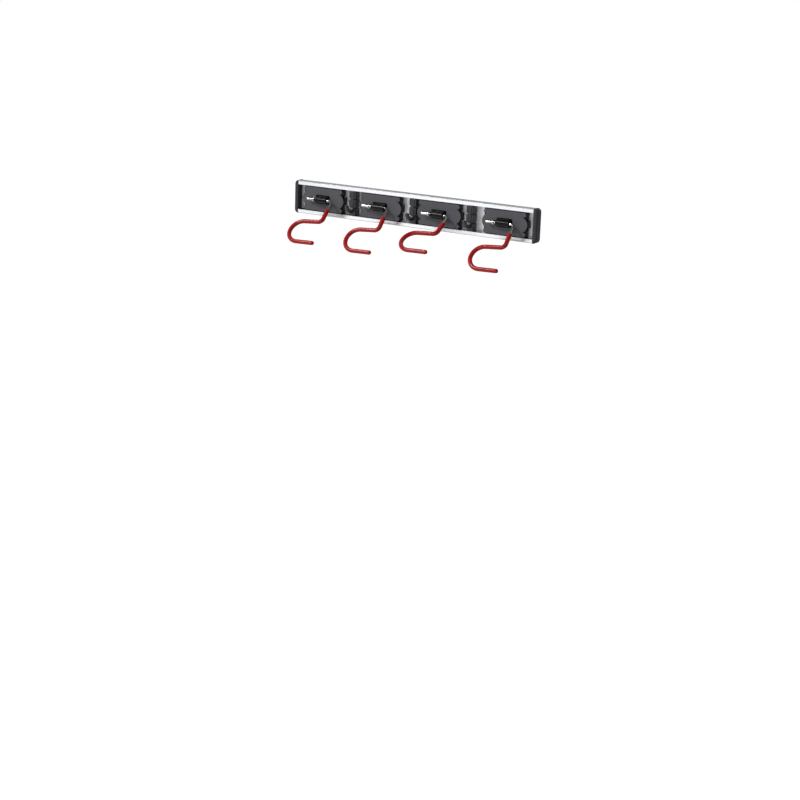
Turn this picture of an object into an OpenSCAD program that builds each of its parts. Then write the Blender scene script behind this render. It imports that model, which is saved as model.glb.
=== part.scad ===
// Wall rack with sliding holders: an aluminium rail closed by two end caps carries four holders,
// each with a hinged S-shaped hook for a pole, and three J hooks between them.
// The rail runs along X, the wall is the plane y = 0 behind it, and the front faces -Y.

/* [Rail] */
// Length of the aluminium extrusion between the end caps
rail_len = 484; // [460:1:900]
// Height of the rail
rail_h = 60; // [56:1:76]
// Depth of the rail from the wall to the front of its lips
rail_depth = 15; // [14:0.5:20]
// Wall thickness of the extrusion
rail_wall = 2; // [1.5:0.1:2.5]
// Height of each front lip, measured from the rail's outer edge
lip_h = 7; // [6:0.5:9]
// Radius of the rail's front edges
rail_edge_r = 1.4; // [0.6:0.1:1.8]
// Diameter of the wall screw holes
screw_hole_d = 5; // [3:0.5:7]

/* [End caps] */
// Length that each end cap adds to the rail
cap_len = 8; // [6:0.5:14]
// How far a cap stands proud of the rail on its front, top and bottom
cap_proud = 0.6; // [0.2:0.1:1.5]
// Radius of the cap's outer corners, seen from the front
cap_corner_r = 7; // [3:0.5:8]
// Radius of the cap's front edge, seen from above
cap_edge_r = 5; // [2:0.5:6]
// Radius of the cap's front edge along its top and bottom
cap_soft_r = 2.5; // [1:0.5:5]
// Length of the two tongues that plug each cap into the rail
tongue_len = 8; // [5:0.5:10]
// Gap between a tongue and the rail
tongue_gap = 0.15; // [0.05:0.05:0.3]

/* [Holders] */
// Depth of the notches in a carrier's ends
notch_depth = 6; // [5:0.5:7]
// Height of the notches in carriers and J hooks, above and below their middle
slide_notch_z = 8.2; // [7:0.1:10]
// Width of those notches
slide_notch_w = 2; // [1:0.5:3]
// Radius of the corners beside those notches
slide_corner_r = 2; // [1:0.5:3]
// How far the corners of a carrier stay behind the middle of its ends
carrier_setback = 3; // [1:0.5:4]
// Gap between a sliding piece and the rail
slide_gap = 0.3; // [0.2:0.05:0.5]
// Free rail between an end cap and the end holders at their even places
end_gap = 12; // [8:0.5:30]
// Free rail on each side of a J hook, with all slides at their even places
j_gap = 11; // [6:0.5:14]
// How far each holder is slid from its even place, as a share of the free rail beside a J hook
holder_slid_shares = [-0.1, -0.25, -0.45, 0.15]; // [-0.5:0.05:0.5]
// Wall thickness of the moulded carriers
carrier_wall = 2.5; // [1.5:0.1:3]
// Thickness of the ribs inside a carrier
rib_t = 1.8; // [1:0.1:3]
// Distance of the upright ribs from the bottoms of a carrier's notches
rib_inset = 14; // [10:0.5:20]
// Distance of the level ribs from the middle of a carrier, clear of the screw heads
rib_z = 9; // [7:0.5:12]
// Room kept between the rail's web and the ribs, for screw heads
screw_head_room = 5; // [3:0.5:6]
// How far the flanges behind the lips stay short of a holder's bulges
flange_setback = 8; // [6:0.5:14]

/* [Grip pads] */
// Height of the carrier's border that shows above and below a pad
pad_border = 1.5; // [0.5:0.1:2]
// Depth of the notches in a pad's ends
pad_notch = 8.5; // [6:0.5:10]
// How far the lobes at a pad's corners stay behind its bulges
lobe_setback = 3; // [1:0.5:4]
// Radius of the lobes at a pad's corners
lobe_r = 4; // [3:0.5:5]
// Radius of the bulge in the middle of a pad's end
bulge_r = 14; // [12:0.5:15]
// Thickness of the rubber pad
pad_t = 3; // [2:0.5:4]
// How far the pad stands proud of the rail's lips
pad_proud = 1; // [0.5:0.1:3]
// Width of the window that lets the hinge through the pad
window_w = 30; // [28:0.5:36]
// Height of that window
window_h = 16; // [15:0.5:20]
// Corner radius of that window
window_r = 2.5; // [1:0.5:5]
// Diameter of the pegs that hold the pad on the carrier
peg_d = 5; // [3:0.5:6]
// Distance of the pegs from the bottoms of a carrier's notches
peg_inset = 7; // [6:0.5:9]
// Distance between the pegs across the holder
peg_rise = 26; // [20:1:30]
// Length of the pegs behind the pad
peg_len = 4; // [3:0.5:5]
// Radial gap round a peg
peg_gap = 0.1; // [0.05:0.05:0.2]

/* [Hinges] */
// Length of the hinge barrel
barrel_len = 26; // [20:1:30]
// Outer diameter of the barrel
barrel_d = 10; // [9:0.5:12]
// Height of the barrel's axis in front of the pad
barrel_stand = 7; // [6:0.5:12]
// Chamfer at the barrel's ends
barrel_chamfer = 0.8; // [0.3:0.1:1.5]
// Height of the foot that carries the barrel
foot_h = 13; // [10:0.5:14]
// How far the foot stands proud of the pad
foot_proud = 2; // [0.5:0.1:3]
// Thickness of the neck between foot and barrel
neck_t = 6; // [4:0.5:8]
// Radial running clearance of the rod in the barrel
run_gap = 0.05; // [0.02:0.01:0.1]

/* [S hooks] */
// Diameter of the bare steel rod
rod_d = 5; // [4:0.5:6]
// Outer diameter of the plastic sleeve on the rod
sleeve_d = 8; // [7:0.5:10]
// Radial gap between rod and sleeve
sleeve_gap = 0.02; // [0.01:0.01:0.05]
// Length of the rod left of the holder's middle
rod_left = 30; // [26:1:40]
// Distance of the leg right of the holder's middle
leg_x = 24; // [22:0.5:30]
// Bend radius between the rod's hinge stretch and its leg
bend_r = 7; // [6:0.5:8]
// Straight length of the leg
leg_len = 32; // [24:1:45]
// Bare length of the leg's straight part above the sleeve
bare_len = 12.5; // [6:0.5:18]
// Bend radius between leg and back arm
corner_r = 8.5; // [7:0.5:10]
// How far the back arm slopes away from the hinge, degrees
back_slope = 4.8; // [0:0.1:10]
// Straight length of the back arm
back_len = 28; // [20:0.5:40]
// Radius of the round grip, along the rod's centre line
grip_r = 22.5; // [18:0.5:28]
// How far the front arm slopes back to the hinge, degrees
front_slope = 1.7; // [0:0.1:6]
// Straight length of the front arm
front_len = 34; // [20:0.5:45]
// Tilt of each hook from straight down, left to right, degrees
hook_tilts = [44, 41, 56, 40]; // [0:1:180]
// How far each rod is pushed along its barrel from the stop of its clip, left to right
rod_slid = [0, -3.4, -1.8, -2.4]; // [-3.4:0.1:0]
// Outer diameter of the retaining clip on the rod's left end
clip_d = 8.4; // [7:0.2:9.4]
// Width of that clip
clip_w = 3; // [1.5:0.1:5]
// Free play between clip and barrel
clip_play = 0.4; // [0.2:0.1:1]
// Radial gap between clip and rod
clip_gap = 0.02; // [0.01:0.01:0.05]
// Chamfer on the clip's edges and on the rod's left end
edge_chamfer = 0.6; // [0.2:0.1:1]

/* [J hooks] */
// Width of a J hook's base in the rail
base_w = 14; // [12:0.5:18]
// Depth of the notches in the sides of the base
base_notch = 3; // [2:0.5:4]
// How far the flange behind the lips stays short of the base's sides
base_setback = 2.5; // [2:0.5:4]
// How far each J hook is slid from its even place, as a share of the free rail beside it
j_slid_shares = [0.05, 0.3, -0.45]; // [-0.45:0.05:0.45]
// Width of the raised strip at its top
strip_top_w = 9.6; // [8:0.2:12]
// Width of the J arm and of the strip's lower end
arm_w = 7; // [6:0.5:8]
// Thickness of the J arm
arm_t = 5; // [4:0.5:6]
// Corner radius of the J arm
arm_r = 2; // [1:0.1:2.4]
// How far the strip stands proud of the base
strip_proud = 1.5; // [0.5:0.1:2.5]
// Bend radius of the J, along its centre line
j_r = 9.6; // [7:0.1:12]
// Height of the J's bend centre, below the rail's middle
j_drop = 5.5; // [2:0.5:8]
// Straight rise of the J's tip above its bend
tip_rise = 0.5; // [0.5:0.5:6]
// Diameter of the ball on the J's tip
ball_d = 8.2; // [7:0.2:10]

/* [Hidden] */
$fn = 64;
// Overrun of a cut past the face it opens
cut = 1;
// How far a straight stretch of a bent bar runs into the bend beside it
weld = 0.5;
// Section of a bend as a share of the straight bar's, just enough to close over the straights' ends
bend_swell_share = 1.01;
holder_count = 4;
j_count = holder_count - 1;

// Planes of the rail and of what slides in it, all measured from the wall
lip_back = rail_depth - rail_wall;
back_plane = rail_wall + slide_gap;
flange_plane = lip_back - slide_gap;
flange_h = rail_h - 2 * rail_wall - 2 * slide_gap;
opening_h = rail_h - 2 * lip_h;
pad_plane = rail_depth + pad_proud;
carrier_plane = pad_plane - pad_t;
pocket_plane = carrier_plane - carrier_wall;
rib_plane = rail_wall + screw_head_room;
foot_plane = pad_plane + foot_proud;
hinge_y = -(pad_plane + barrel_stand);

// Holders, as long as the rail leaves room for
holder_h = opening_h - 2 * slide_gap;
holder_len = (rail_len - 2 * end_gap - j_count * (base_w + 2 * j_gap)) / holder_count;
core_len = holder_len - 2 * notch_depth;
pad_h = holder_h - 2 * pad_border;
pad_core_len = holder_len - 2 * pad_notch;
flange_len = holder_len - 2 * flange_setback;
rib_x = core_len / 2 - rib_inset;
peg_x = core_len / 2 - peg_inset;
lobe_x = holder_len / 2 - lobe_setback - lobe_r;
lobe_z = pad_h / 2 - lobe_r;

// Places along the rail
pitch = holder_len + base_w + 2 * j_gap;
function even_x(i) = (i - (holder_count - 1) / 2) * pitch;
function holder_x(i) = even_x(i) + holder_slid_shares[i] * j_gap;
function j_x(i) = even_x(i) + pitch / 2 + j_slid_shares[i] * j_gap;

// J hook, in the same planes as the holders
strip_plane = pad_plane + strip_proud;
arm_plane = strip_plane - arm_t / 2;

holder_numbers = [for (i = [1 : holder_count]) i];
j_numbers = [for (i = [1 : j_count]) i];

function numbered(name, numbers) = [for (i = numbers) str(name, "_", i)];

// A front view outline made into a slab between two planes in front of the wall
module slab(from, to)
    translate([0, -from, 0])
        rotate([90, 0, 0])
            linear_extrude(to - from)
                children();

// A side view outline, drawn as depth from the wall and height, made into a bar along X
module bar(length)
    translate([-length / 2, 0, 0])
        rotate([90, 0, 90])
            linear_extrude(length)
                mirror([1, 0])
                    children();

// A round bar along X, centred on the hinge axis
module axle(d, length)
    rotate([0, 90, 0])
        cylinder(d = d, h = length, center = true);

// A rectangle centred on the origin with round corners
module rounded(w, h, r) {
    square([w - 2 * r, h], center = true);
    square([w, h - 2 * r], center = true);
    for (x = [-1, 1], y = [-1, 1])
        translate([x * (w / 2 - r), y * (h / 2 - r)])
            circle(r);
}

// A bent bar that follows straight and round stretches, each given as [length, radius, turn]: a straight
// one has a length, a round one a radius and a turn, positive to the left. The first child is the bar's
// section and the second is its end piece. Bends close over the ends of the straights beside them.
module bent(steps, i = 0) {
    if (i == len(steps)) {
        children(1);
    } else {
        length = steps[i][0];
        r = steps[i][1];
        turn = steps[i][2];
        if (turn == 0) {
            lead = i > 0 ? weld : 0;
            translate([-lead, 0, 0])
                rotate([90, 0, 90])
                    linear_extrude(lead + length + weld)
                        children(0);
            translate([length, 0, 0])
                bent(steps, i + 1) {
                    children(0);
                    children(1);
                }
        } else {
            rotate([turn < 0 ? 180 : 0, 0, 0])
                translate([0, r, 0])
                    rotate([0, 0, -90])
                        rotate_extrude(angle = abs(turn))
                            translate([r, 0])
                                scale(bend_swell_share)
                                    children(0);
            translate([r * sin(abs(turn)), sign(turn) * r * (1 - cos(turn)), 0])
                rotate([0, 0, turn])
                    bent(steps, i + 1) {
                        children(0);
                        children(1);
                    }
        }
    }
}

// A round pin along X whose profile is drawn as radius and length
module turned()
    rotate([0, 90, 0])
        rotate_extrude()
            children();

// The rail: a C-shaped extrusion with a web on the wall and two lips in front
module rail_profile() {
    difference() {
        union() {
            translate([(rail_depth - rail_edge_r) / 2, 0])
                square([rail_depth - rail_edge_r, rail_h], center = true);
            translate([rail_depth / 2, 0])
                square([rail_depth, rail_h - 2 * rail_edge_r], center = true);
            for (z = [-1, 1])
                translate([rail_depth - rail_edge_r, z * (rail_h / 2 - rail_edge_r)])
                    circle(rail_edge_r);
        }
        translate([rail_wall, -rail_h / 2 + rail_wall])
            square([lip_back - rail_wall, rail_h - 2 * rail_wall]);
        translate([rail_wall, -opening_h / 2])
            square([rail_depth, opening_h]);
    }
}

module rail()
    color("silver")
        difference() {
            bar(rail_len)
                rail_profile();
            for (i = [0 : holder_count - 1])
                translate([even_x(i), cut, 0])
                    rotate([90, 0, 0])
                        cylinder(d = screw_hole_d, h = rail_wall + 2 * cut);
        }

// The right end cap: a round-cornered cover with two tongues that plug in behind the lips
module cap_body() {
    cap_h = rail_h + 2 * cap_proud;
    cap_depth = rail_depth + cap_proud;
    tongue_h = lip_h - rail_wall - 2 * tongue_gap;
    tongue_depth = lip_back - rail_wall - 2 * tongue_gap;
    translate([rail_len / 2, 0, 0])
        intersection() {
            slab(0, cap_depth)
                intersection() {
                    rounded(2 * cap_len, cap_h, cap_corner_r);
                    translate([0, -cap_h / 2])
                        square([cap_len, cap_h]);
                }
            translate([0, 0, -cap_h / 2])
                linear_extrude(cap_h)
                    rounded(2 * cap_len, 2 * cap_depth, cap_edge_r);
            bar(2 * cap_len)
                rounded(2 * cap_depth, cap_h, cap_soft_r);
        }
    for (z = [-1, 1])
        translate([
            rail_len / 2 - tongue_len,
            -rail_wall - tongue_gap - tongue_depth,
            z * (rail_h / 2 - (rail_wall + lip_h) / 2) - tongue_h / 2
        ])
            cube([tongue_len + cap_len / 2, tongue_depth, tongue_h]);
}

module end_cap_right()
    color([0.08, 0.08, 0.09])
        cap_body();

module end_cap_left()
    color([0.08, 0.08, 0.09])
        mirror([1, 0, 0])
            cap_body();

// Front view of a piece that slides: each end has a blunt middle between two corners
module slide_outline(length, notch, setback) {
    corner_h = (holder_h - slide_notch_w) / 2 - slide_notch_z;
    square([length - 2 * notch, holder_h], center = true);
    rounded(length, 2 * slide_notch_z - slide_notch_w, slide_corner_r);
    for (z = [-1, 1])
        translate([0, z * (holder_h - corner_h) / 2])
            rounded(length - 2 * setback, corner_h, slide_corner_r);
}

// Front view of a pad: notched ends with a round bulge between two lobes
module pad_outline() {
    square([pad_core_len, pad_h], center = true);
    for (x = [-1, 1]) {
        translate([x * (holder_len / 2 - bulge_r), 0])
            circle(bulge_r);
        for (z = [-1, 1])
            translate([x * lobe_x, z * lobe_z])
                circle(lobe_r);
    }
}

// The four pegs of a pad, or the holes for them
module pegs(d, from, to)
    for (x = [-1, 1], z = [-1, 1])
        translate([x * peg_x, -from, z * peg_rise / 2])
            rotate([90, 0, 0])
                cylinder(d = d, h = to - from);

// The hinge barrel on its foot and neck
module hinge() {
    slab(carrier_plane - carrier_wall / 2, foot_plane)
        rounded(barrel_len, foot_h, window_r);
    slab(foot_plane - foot_proud, -hinge_y)
        square([barrel_len - 2 * barrel_chamfer, neck_t], center = true);
    translate([-barrel_len / 2, hinge_y, 0])
        turned()
            barrel_side();
}

// Half of the barrel's length section, with chamfered ends
module barrel_side() {
    r = barrel_d / 2;
    polygon([
        [0, 0],
        [r - barrel_chamfer, 0],
        [r, barrel_chamfer],
        [r, barrel_len - barrel_chamfer],
        [r - barrel_chamfer, barrel_len],
        [0, barrel_len]
    ]);
}

// The pocket behind the carrier, with shallow ribs left standing in it
module carrier_pocket() {
    w = core_len - 2 * carrier_wall;
    h = holder_h - 2 * carrier_wall;
    slab(back_plane - cut, rib_plane)
        square([w, h], center = true);
    slab(rib_plane - cut, pocket_plane)
        difference() {
            square([w, h], center = true);
            for (side = [-1, 1]) {
                translate([side * rib_x, 0])
                    square([rib_t, h + cut], center = true);
                translate([0, side * rib_z])
                    square([w + cut, rib_t], center = true);
            }
        }
}

// A carrier: the moulded slide that runs behind the lips and carries the hinge
module carrier(i)
    color([0.07, 0.07, 0.08])
        translate([holder_x(i), 0, 0])
            difference() {
                union() {
                    slab(back_plane, carrier_plane)
                        slide_outline(holder_len, notch_depth, carrier_setback);
                    slab(back_plane, flange_plane)
                        square([flange_len, flange_h], center = true);
                    hinge();
                }
                carrier_pocket();
                pegs(peg_d + 2 * peg_gap, pocket_plane - cut, carrier_plane + cut);
                translate([0, hinge_y, 0])
                    axle(rod_d + 2 * run_gap, barrel_len + 2 * cut);
            }

// A grip pad: the rubber front of a holder, pegged to its carrier
module grip_pad(i)
    color([0.2, 0.2, 0.22])
        translate([holder_x(i), 0, 0]) {
            slab(carrier_plane, pad_plane)
                difference() {
                    pad_outline();
                    rounded(window_w, window_h, window_r);
                }
            pegs(peg_d, carrier_plane - peg_len, carrier_plane + pad_t / 2);
        }

// Places a hook's own plane at its hinge: X along the rod, -Y out along the leg
module at_hinge(i)
    translate([holder_x(i) + rod_slid[i], hinge_y, 0])
        rotate([90 - hook_tilts[i], 0, 0])
            children();

// The bends and straights that rod and sleeve share, from the leg to the end of the grip
function grip_steps(leg_part) = [
    [leg_part, 0, 0],
    [0, corner_r, back_slope - 90],
    [back_len, 0, 0],
    [0, grip_r, 180 - back_slope + front_slope]
];

// A hook's rod: one bent steel wire from the hinge to the tip
module hook_rod(i) {
    r = rod_d / 2;
    hinge_len = rod_left + leg_x - bend_r + weld;
    color([0.78, 0.78, 0.8])
        at_hinge(i) {
            translate([-rod_left, 0, 0])
                turned()
                    polygon([
                        [0, 0],
                        [r - edge_chamfer, 0],
                        [r, edge_chamfer],
                        [r, hinge_len],
                        [0, hinge_len]
                    ]);
            translate([leg_x - bend_r, 0, 0])
                bent(concat([[0, bend_r, -90]], grip_steps(leg_len))) {
                    circle(d = rod_d);
                    rod_end(rod_d, 0);
                }
        }
}

// The straight front arm of the rod, or the bore for it in the sleeve
module rod_end(d, longer)
    translate([-weld, 0, 0])
        turned()
            square([d / 2, weld + front_len + longer]);

// The front arm of the sleeve, with its round tip
module sleeve_end() {
    r = sleeve_d / 2;
    translate([-weld, 0, 0])
        turned()
            intersection() {
                union() {
                    square([r, weld + front_len]);
                    translate([0, weld + front_len])
                        circle(r);
                }
                square([r, weld + front_len + r]);
            }
}

// A hook's sleeve: the soft plastic coat over the leg, the grip and the tip
module hook_sleeve(i) {
    leg_part = leg_len - bare_len;
    bore = rod_d + 2 * sleeve_gap;
    color([0.63, 0.09, 0.11])
        at_hinge(i)
            translate([leg_x, -bend_r - bare_len, 0])
                rotate([0, 0, -90])
                    difference() {
                        bent(grip_steps(leg_part)) {
                            circle(d = sleeve_d);
                            sleeve_end();
                        }
                        translate([-cut, 0, 0])
                            bent(grip_steps(leg_part + cut)) {
                                circle(d = bore);
                                rod_end(bore, sleeve_gap);
                            }
                    }
}

// A retaining clip pushed on the rod beside the barrel
module rod_clip(i) {
    inner = rod_d / 2 + clip_gap;
    outer = clip_d / 2;
    color([0.7, 0.7, 0.72])
        at_hinge(i)
            translate([-barrel_len / 2 - clip_play - clip_w, 0, 0])
                turned()
                    polygon([
                        [inner, 0],
                        [outer - edge_chamfer, 0],
                        [outer, edge_chamfer],
                        [outer, clip_w - edge_chamfer],
                        [outer - edge_chamfer, clip_w],
                        [inner, clip_w]
                    ]);
}

// A J hook: a narrow slide with a tapered strip that bends out and up to a ball tip
module j_hook(i)
    color([0.06, 0.06, 0.07])
        translate([j_x(i), 0, 0]) {
            slab(back_plane, pad_plane)
                slide_outline(base_w, base_notch, 0);
            slab(back_plane, flange_plane)
                square([base_w - 2 * base_setback, flange_h], center = true);
            slab(flange_plane, strip_plane)
                polygon([
                    [-strip_top_w / 2, holder_h / 2],
                    [strip_top_w / 2, holder_h / 2],
                    [arm_w / 2, -j_drop],
                    [-arm_w / 2, -j_drop]
                ]);
            translate([0, -arm_plane, -j_drop])
                rotate([0, 90, 0])
                    bent([[0, j_r, -180], [tip_rise, 0, 0]]) {
                        rounded(arm_t, arm_w, arm_r);
                        sphere(d = ball_d);
                    }
        }

rail();
end_cap_left();
end_cap_right();
for (i = holder_numbers) {
    carrier(i - 1);
    grip_pad(i - 1);
    hook_rod(i - 1);
    hook_sleeve(i - 1);
    rod_clip(i - 1);
}
for (i = j_numbers)
    j_hook(i - 1);
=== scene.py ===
# %% [markdown]
# # A wall rack with sliding holders
# The rack is an aluminium rail with an end cap at each side. Four holders with rubber fronts slide in the
# rail, and each carries a hinged S hook of coated wire. Three small J hooks slide between them.
#
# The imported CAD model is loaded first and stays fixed. Every piece that is modelled below goes where its CAD
# solid is, in the same metres and the same axes: X runs along the rail, Y into the wall, Z up. So nothing is
# fitted by eye.

# %% Load the frame
import math

import bmesh
import bpy
from mathutils import Matrix, Vector


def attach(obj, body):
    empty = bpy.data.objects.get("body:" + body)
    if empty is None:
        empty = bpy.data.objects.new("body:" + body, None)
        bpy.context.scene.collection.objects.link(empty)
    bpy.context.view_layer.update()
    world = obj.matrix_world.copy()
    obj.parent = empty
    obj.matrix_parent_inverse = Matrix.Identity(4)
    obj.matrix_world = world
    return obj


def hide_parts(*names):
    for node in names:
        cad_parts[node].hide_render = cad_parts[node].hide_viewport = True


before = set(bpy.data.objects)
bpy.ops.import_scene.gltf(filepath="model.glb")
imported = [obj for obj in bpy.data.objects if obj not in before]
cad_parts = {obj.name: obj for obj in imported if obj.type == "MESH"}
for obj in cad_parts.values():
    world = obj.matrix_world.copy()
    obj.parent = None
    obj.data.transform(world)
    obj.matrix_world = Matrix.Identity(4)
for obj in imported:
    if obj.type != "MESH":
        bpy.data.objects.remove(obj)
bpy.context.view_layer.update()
MM = 0.001

# %% [markdown]
# ## Camera
# The photograph was taken from the right, a little above the rack, with a long lens. The four edges of the
# rail fix the view: the camera stands 3.2 m away, 30 degrees to the right, and looks 15 degrees down. A
# camera could be aimed with a Track To constraint, but a constraint can't give the slight roll, so its three
# directions are worked out and set.

# %% Camera
yaw, pitch, roll = 0.5236, 0.2666, 0.0341
ahead = Vector((-math.sin(yaw) * math.cos(pitch), math.cos(yaw) * math.cos(pitch), -math.sin(pitch)))
level = Vector((math.cos(yaw), math.sin(yaw), 0))
upright = level.cross(ahead)
right = level * math.cos(roll) + upright * math.sin(roll)
above = upright * math.cos(roll) - level * math.sin(roll)
bpy.ops.object.camera_add()
camera = bpy.context.object
camera.matrix_world = Matrix((right, above, -ahead)).transposed().to_4x4()
camera.location = (1.5721, -2.7547, 0.5122)
camera.data.sensor_width = 36
camera.data.lens = 80.2
camera.data.clip_end = 100
bpy.context.scene.camera = camera
print("camera", round(camera.location.length, 2), "m from the rail's middle")

# %% [markdown]
# ## Finishes
# A finish starts from what the real material is and how its surface was made. Colours are written as they
# look on a screen, in hex, and one function turns them into the linear values that Blender works with. A
# second small function adds a node, sets it and links it. Pattern sizes are real sizes in millimetres: a
# noise of scale 1 / (2 mm) has patches about 2 mm across. In each finish, one pattern or two steer the
# colour, the roughness and the bump together, as they do on a real surface.

# %% Helpers for finishes
SHADER = "Principled BSDF"
COLOUR_A, COLOUR_B, COLOUR_OUT = 6, 7, 2  # a Mix node's colour sockets


def hex_colour(code):
    """A linear RGBA colour from an sRGB hex code."""
    parts = [int(code[i:i + 2], 16) / 255 for i in (1, 3, 5)]
    return [c / 12.92 if c <= 0.04045 else ((c + 0.055) / 1.055) ** 2.4 for c in parts] + [1]


def scale_for(size):
    """The scale of a pattern whose patches are this many mm across."""
    return 1 / (size * MM)


def add_node(tree, kind, inputs, **settings):
    """Adds a node. Each input gets a value, or a link where another node's output is given."""
    node = tree.nodes.new(kind)
    for name, value in settings.items():
        setattr(node, name, value)
    for socket, value in inputs.items():
        if isinstance(value, bpy.types.NodeSocket):
            tree.links.new(value, node.inputs[socket])
        else:
            node.inputs[socket].default_value = value
    return node


def new_finish(name, **values):
    """A material with its shader's uniform values set; returns it with its node tree and coordinates."""
    finish = bpy.data.materials.new(name)
    finish.use_nodes = True
    tree = finish.node_tree
    for socket, value in values.items():
        tree.nodes[SHADER].inputs[socket.replace("_", " ")].default_value = value
    place = add_node(tree, "ShaderNodeTexCoord", {}).outputs["Object"]
    return finish, tree, place


def complete(finish, colour, roughness, bump):
    """Links the nodes that steer a finish's colour, roughness and bump to its shader."""
    tree = finish.node_tree
    sockets = tree.nodes[SHADER].inputs
    tree.links.new(colour.outputs[COLOUR_OUT], sockets["Base Color"])
    tree.links.new(roughness.outputs[0], sockets["Roughness"])
    tree.links.new(bump.outputs[0], sockets["Normal"])
    print("made", finish.name)


# %% [markdown]
# ### Anodised aluminium
# The rail is extruded, brushed along its length and clear anodised. Brushing leaves lines along X about
# 0.1 mm wide, which blur each reflection across the lines. Lines that fine don't show at this distance, so
# they are drawn 0.7 mm wide and 80 mm long: noise that is stretched along X. Only the front is brushed. The
# narrow top and bottom, with the rounded edges that lead to them, keep the duller skin from the die. Their
# colour is painted darker than that skin as well: painted shade, a dark reflection along the top and bottom
# edges. So the height above and below the rail's middle, where it passes 29 mm, mixes in a second, darker
# colour and a higher roughness. The brush doesn't reach the web inside the channel either: there, less than
# 2.5 mm from the wall, the metal is as bright but more matte.

# %% Anodised aluminium
aluminium, tree, place = new_finish("brushed_anodised_aluminium", Metallic=1.0)
lines_at = add_node(tree, "ShaderNodeMapping", {
    "Vector": place, "Scale": (scale_for(80), scale_for(0.7), scale_for(0.7))})
lines = add_node(tree, "ShaderNodeTexNoise", {"Vector": lines_at.outputs[0], "Scale": 1.0, "Detail": 3.0})
haze = add_node(tree, "ShaderNodeTexNoise", {"Vector": place, "Scale": scale_for(40), "Detail": 2.0})
bright = add_node(tree, "ShaderNodeMix", {
    "Factor": lines.outputs["Fac"], COLOUR_A: hex_colour("#bcbec1"), COLOUR_B: hex_colour("#dfe0e2"),
}, data_type="RGBA")
# Painted shade: this darker colour is partly the die skin and partly a painted dark reflection on the edges.
die_skin_and_painted_shade = add_node(tree, "ShaderNodeMix", {
    "Factor": lines.outputs["Fac"], COLOUR_A: hex_colour("#74777a"), COLOUR_B: hex_colour("#909396"),
}, data_type="RGBA")
where = add_node(tree, "ShaderNodeSeparateXYZ", {0: place})
height = add_node(tree, "ShaderNodeMath", {0: where.outputs["Z"]}, operation="ABSOLUTE")
# Above 29 mm from the middle, this mask brings in the painted shade and the duller roughness.
edge = add_node(tree, "ShaderNodeMapRange", {
    "Value": height.outputs[0], "From Min": 28.7 * MM, "From Max": 29.2 * MM})
web = add_node(tree, "ShaderNodeMapRange", {
    "Value": where.outputs["Y"], "From Min": -2.5 * MM, "From Max": -2.2 * MM})
metal = add_node(tree, "ShaderNodeMix", {
    "Factor": edge.outputs[0], COLOUR_A: bright.outputs[COLOUR_OUT], COLOUR_B: die_skin_and_painted_shade.outputs[COLOUR_OUT],
}, data_type="RGBA")
blur = add_node(tree, "ShaderNodeMapRange", {
    "Value": lines.outputs["Fac"], "From Min": 0.3, "From Max": 0.7, "To Min": 0.22, "To Max": 0.32})
clouds = add_node(tree, "ShaderNodeMapRange", {
    "Value": haze.outputs["Fac"], "To Min": -0.03, "To Max": 0.03})
dull = add_node(tree, "ShaderNodeMath", {0: blur.outputs[0], 1: clouds.outputs[0]}, operation="ADD")
for unbrushed, more in ((edge, 0.2), (web, 0.25)):
    dull = add_node(tree, "ShaderNodeMath", {
        0: unbrushed.outputs[0], 1: more, 2: dull.outputs[0]}, operation="MULTIPLY_ADD")
brushed = add_node(tree, "ShaderNodeBump", {
    "Height": lines.outputs["Fac"], "Strength": 0.04, "Distance": 0.05 * MM})
complete(aluminium, metal, dull, brushed)

# %% [markdown]
# ### Satin ABS
# The end caps are moulded in black ABS from a spark-eroded mould. That leaves an even, fine grain which
# scatters light into a soft grey sheen. The grain is drawn 0.9 mm wide so that it just shows, and wide soft
# patches stand for hand marks.

# %% Satin ABS
satin_black, tree, place = new_finish("spark_eroded_black_abs", Specular_IOR_Level=0.04)
grain = add_node(tree, "ShaderNodeTexNoise", {"Vector": place, "Scale": scale_for(0.9), "Detail": 3.0})
marks = add_node(tree, "ShaderNodeTexNoise", {"Vector": place, "Scale": scale_for(14), "Detail": 4.0})
black = add_node(tree, "ShaderNodeMix", {
    "Factor": grain.outputs["Fac"], COLOUR_A: hex_colour("#303034"), COLOUR_B: hex_colour("#48484d"),
}, data_type="RGBA")
sheen = add_node(tree, "ShaderNodeMapRange", {
    "Value": marks.outputs["Fac"], "From Min": 0.3, "From Max": 0.7, "To Min": 0.36, "To Max": 0.5})
eroded = add_node(tree, "ShaderNodeBump", {
    "Height": grain.outputs["Fac"], "Strength": 0.25, "Distance": 0.06 * MM})
complete(satin_black, black, sheen, eroded)

# %% [markdown]
# ### Smooth nylon
# The carriers with their hinges are black nylon from a polished mould: a deep black with a clear highlight.
# Slow waves 5 mm long, where the moulding shrank, bend the highlight, and faint rubbed patches dull it.

# %% Smooth nylon
smooth_black, tree, place = new_finish("polished_black_nylon", Specular_IOR_Level=0.1)
waves = add_node(tree, "ShaderNodeTexNoise", {"Vector": place, "Scale": scale_for(5), "Detail": 1.0})
rubs = add_node(tree, "ShaderNodeTexNoise", {
    "Vector": place, "Scale": scale_for(2.5), "Detail": 5.0, "Roughness": 0.65})
black = add_node(tree, "ShaderNodeMix", {
    "Factor": rubs.outputs["Fac"], COLOUR_A: hex_colour("#060607"), COLOUR_B: hex_colour("#0f0f11"),
}, data_type="RGBA")
gloss = add_node(tree, "ShaderNodeMapRange", {
    "Value": rubs.outputs["Fac"], "From Min": 0.35, "From Max": 0.7, "To Min": 0.14, "To Max": 0.26})
shrunk = add_node(tree, "ShaderNodeBump", {
    "Height": waves.outputs["Fac"], "Strength": 0.15, "Distance": 0.1 * MM})
complete(smooth_black, black, gloss, shrunk)

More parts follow.
